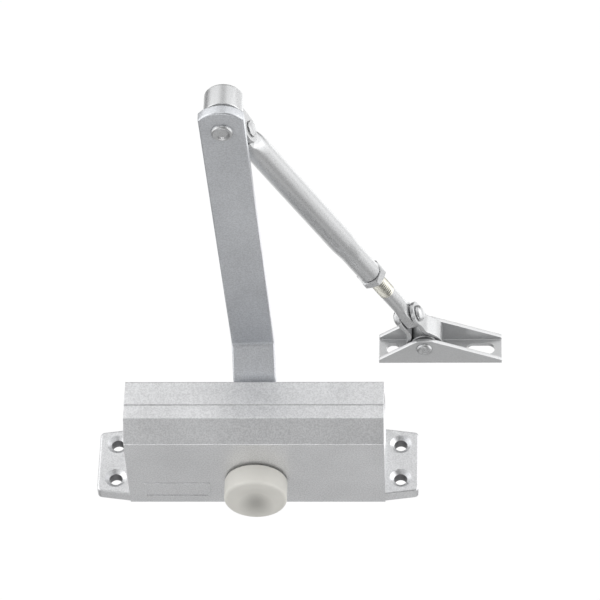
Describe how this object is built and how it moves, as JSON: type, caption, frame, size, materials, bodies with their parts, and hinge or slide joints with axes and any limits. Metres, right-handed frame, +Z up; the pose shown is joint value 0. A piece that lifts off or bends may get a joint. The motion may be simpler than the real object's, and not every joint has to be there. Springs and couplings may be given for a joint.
{
  "type": "overhead door closer",
  "caption": "Compact rack-and-pinion overhead door closer with cranked main arm, adjustable forearm and channel foot bracket.",
  "frame": {"origin": "middle of the body's flat back, where it meets the door, level with the middle of the body", "axes": "+X along the body towards the foot bracket's side, +Y into the door, +Z up along the pinion; the body's front faces -Y"},
  "size_m": [0.188, 0.2174, 0.107],
  "materials": {
    "silver_paint": "fine speckled silver metallic paint, satin",
    "zinc_steel": "bright zinc-plated steel",
    "machined_steel": "oiled, hardened and ground steel",
    "bronze": "plain sintered bronze",
    "seal_rubber": "black nitrile rubber",
    "ivory_plastic": "slightly translucent off-white moulded plastic"
  },
  "bodies": {
    "closer_body": {"body_casting": "silver_paint", "left_end_plug": "silver_paint", "right_end_plug": "silver_paint", "left_plug_seal": "seal_rubber", "right_plug_seal": "seal_rubber", "lower_bearing": "bronze", "upper_bearing": "bronze", "lower_shaft_seal": "seal_rubber", "upper_shaft_seal": "seal_rubber", "lower_gland_nut": "zinc_steel", "upper_gland_nut": "zinc_steel", "main_spring": "machined_steel"},
    "closing_valve": {"closing_valve_screw": "zinc_steel", "closing_valve_seal": "seal_rubber"},
    "latching_valve": {"latching_valve_screw": "zinc_steel", "latching_valve_seal": "seal_rubber"},
    "spindle_and_arm": {"pinion_shaft": "machined_steel", "spindle_cap": "ivory_plastic", "main_arm": "silver_paint", "arm_washer": "zinc_steel", "arm_screw": "zinc_steel", "elbow_rivet": "silver_paint", "elbow_washer": "silver_paint"},
    "piston_assembly": {"piston": "machined_steel", "piston_ring": "seal_rubber", "check_valve_retainer": "bronze"},
    "check_ball": {"check_valve_ball": "zinc_steel"},
    "knuckle": {"elbow_knuckle": "silver_paint", "elbow_cross_rivet": "silver_paint"},
    "forearm": {"forearm_tube": "silver_paint"},
    "adjusting_rod": {"threaded_rod": "zinc_steel"},
    "rod_lock_nut": {"lock_nut": "zinc_steel"},
    "shackle": {"foot_shackle": "silver_paint", "shackle_rivet": "silver_paint", "foot_pivot_bush": "silver_paint"},
    "foot": {"foot_bracket": "silver_paint", "foot_pivot_rivet": "silver_paint"}
  },
  "joints": [
    {"name": "pinion_turn", "type": "hinge", "parent": "closer_body", "child": "spindle_and_arm", "pos_m": [0, -0.0175, 0], "axis": [0, 0, 1], "range_deg": [0, 165], "stiffness_Nm_per_rad": 1.5, "springref_deg": -28.65},
    {"name": "piston_travel", "type": "slide", "parent": "closer_body", "child": "piston_assembly", "axis": [1, 0, 0], "range_m": [0, 0.0173], "deforming": ["main_spring"]},
    {"name": "check_ball_lift", "type": "slide", "parent": "piston_assembly", "child": "check_ball", "axis": [-1, 0, 0], "range_m": [0, 0.0004]},
    {"name": "closing_valve_turn", "type": "hinge", "parent": "closer_body", "child": "closing_valve", "pos_m": [-0.059, -0.0108, 0.0095], "axis": [-1, 0, 0], "range_deg": [0, 720]},
    {"name": "latching_valve_turn", "type": "hinge", "parent": "closer_body", "child": "latching_valve", "pos_m": [-0.059, -0.0108, -0.0095], "axis": [-1, 0, 0], "range_deg": [0, 720]},
    {"name": "elbow_swing", "type": "hinge", "parent": "spindle_and_arm", "child": "knuckle", "pos_m": [-0.0076, -0.205, 0.046], "axis": [0, 0, 1], "range_deg": [-150, 105]},
    {"name": "elbow_tilt", "type": "hinge", "parent": "knuckle", "child": "forearm", "pos_m": [-0.00057, -0.18897, 0.046], "axis": [0.9159, -0.4014, 0], "range_deg": [-10, 18]},
    {"name": "rod_adjust", "type": "slide", "parent": "forearm", "child": "adjusting_rod", "axis": [0.3984, 0.9091, 0.1214], "range_m": [0, 0.015]},
    {"name": "lock_nut_back_off", "type": "slide", "parent": "adjusting_rod", "child": "rod_lock_nut", "axis": [0.3984, 0.9091, 0.1214], "range_m": [0, 0.008]},
    {"name": "shackle_tilt", "type": "hinge", "parent": "adjusting_rod", "child": "shackle", "pos_m": [0.06967, -0.02869, 0.0674], "axis": [0.9159, -0.4014, 0], "range_deg": [-20, 20]},
    {"name": "foot_swing", "type": "hinge", "parent": "shackle", "child": "foot", "pos_m": [0.0769, -0.0122, 0.06795], "axis": [0, 0, 1], "range_deg": [-75, 50]}
  ],
  "couplings": [
    {"joint": "piston_travel", "follows": "pinion_turn", "m_per_rad": 0.006}
  ]
}
